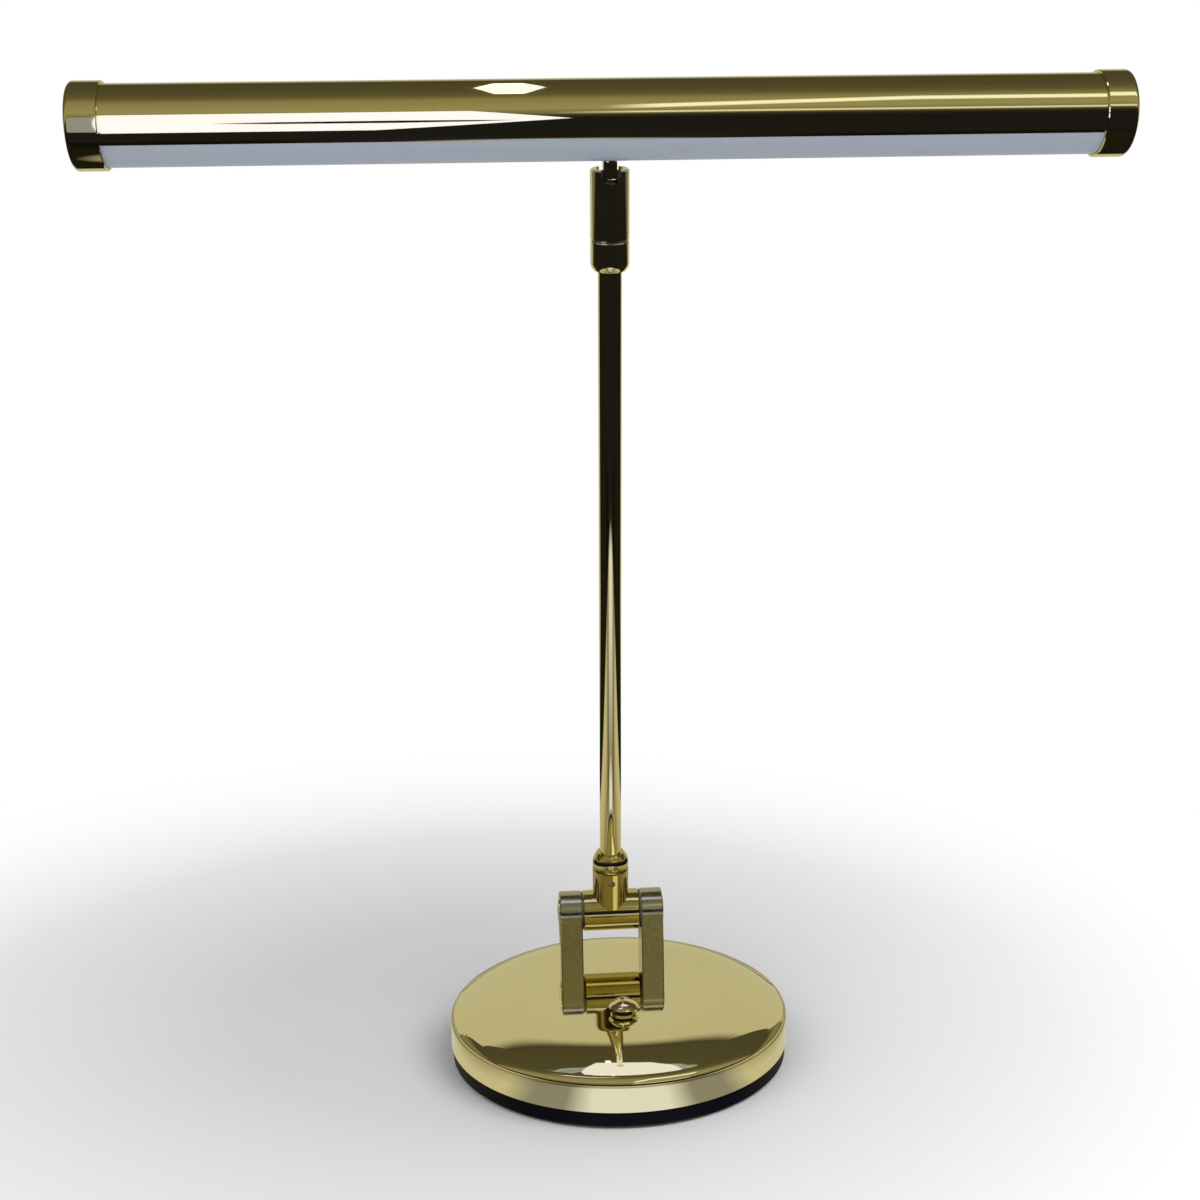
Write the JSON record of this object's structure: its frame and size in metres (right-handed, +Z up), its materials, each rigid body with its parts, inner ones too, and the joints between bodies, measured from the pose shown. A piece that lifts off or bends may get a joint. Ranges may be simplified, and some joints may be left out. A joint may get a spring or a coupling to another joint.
{
  "type": "piano lamp",
  "caption": "Brass piano lamp: weighted round base with push button, hinged leaning stem and a long swivelling, tilting tube shade with an opal diffuser.",
  "frame": {"origin": "centre of the round base on the surface it stands on", "axes": "+Z up, +X along the shade to the right seen from the front, -Y to the front, where the push button is"},
  "size_m": [0.38, 0.14, 0.3906],
  "materials": {
    "felt": "short black felt",
    "cover_black": "moulded, satin black",
    "steel": "zinc-plated",
    "brass": "polished and lacquered",
    "iron": "as cast, primed",
    "board_green": "glass-fibre circuit board",
    "components": "moulded component cases",
    "inlet_black": "moulded, matt",
    "lead": "soft insulation",
    "washer_dark": "friction nylon",
    "opal": "opal, satin",
    "aluminium": "extruded, plain",
    "board_white": "aluminium-core board with white mask",
    "chip": "phosphor-filled"
  },
  "bodies": {
    "base": {"felt_pad": "felt", "bottom_cover": "cover_black", "cover_screws": "steel", "base_shell": "brass", "base_weight": "iron", "driver_board": "board_green", "driver_parts": "components", "push_switch": "components", "dc_inlet": "inlet_black", "lamp_lead": "lead", "button_bush": "brass", "bush_nut": "steel", "return_sleeve": "lead", "hinge_ear_left": "brass", "hinge_ear_right": "brass", "hinge_screws": "steel", "hinge_stub_left": "brass", "hinge_stub_right": "brass", "friction_washers": "washer_dark"},
    "button": {"button_cap": "brass", "button_clip": "steel", "switch_plunger": "components"},
    "arm": {"hinge_knuckle": "brass", "collar_ring": "brass", "grub_screw": "steel", "stem_tube": "brass", "stem_wire": "lead", "lower_sleeve": "brass", "swivel_spindle": "steel", "spindle_nut": "steel", "swivel_washer": "washer_dark"},
    "fork": {"swivel_fork": "brass", "tilt_pin": "steel", "tilt_spacers": "washer_dark"},
    "head": {"neck_tongue": "brass", "neck_nut": "steel", "shade_tube": "brass", "diffuser": "opal", "led_carrier": "aluminium", "led_board": "board_white", "leds": "chip", "end_cap_left": "brass", "end_cap_right": "brass"}
  },
  "joints": [
    {"name": "arm_fold", "type": "hinge", "parent": "base", "child": "arm", "pos_m": [0, 0.035, 0.0484], "axis": [1, 0, 0], "range_deg": [-42, 63]},
    {"name": "head_swivel", "type": "hinge", "parent": "arm", "child": "fork", "pos_m": [0, -0.02737, 0.34184], "axis": [0, -0.2079, 0.9781], "range_deg": [-165, 165]},
    {"name": "head_tilt", "type": "hinge", "parent": "fork", "child": "head", "pos_m": [0, -0.03022, 0.35524], "axis": [1, 0, 0], "range_deg": [-25, 25]},
    {"name": "button_press", "type": "slide", "parent": "base", "child": "button", "axis": [0, 0, -1], "range_m": [0, 0.0012], "stiffness_N_per_m": 300, "springref_m": -0.002, "deforming": ["return_sleeve"]}
  ]
}
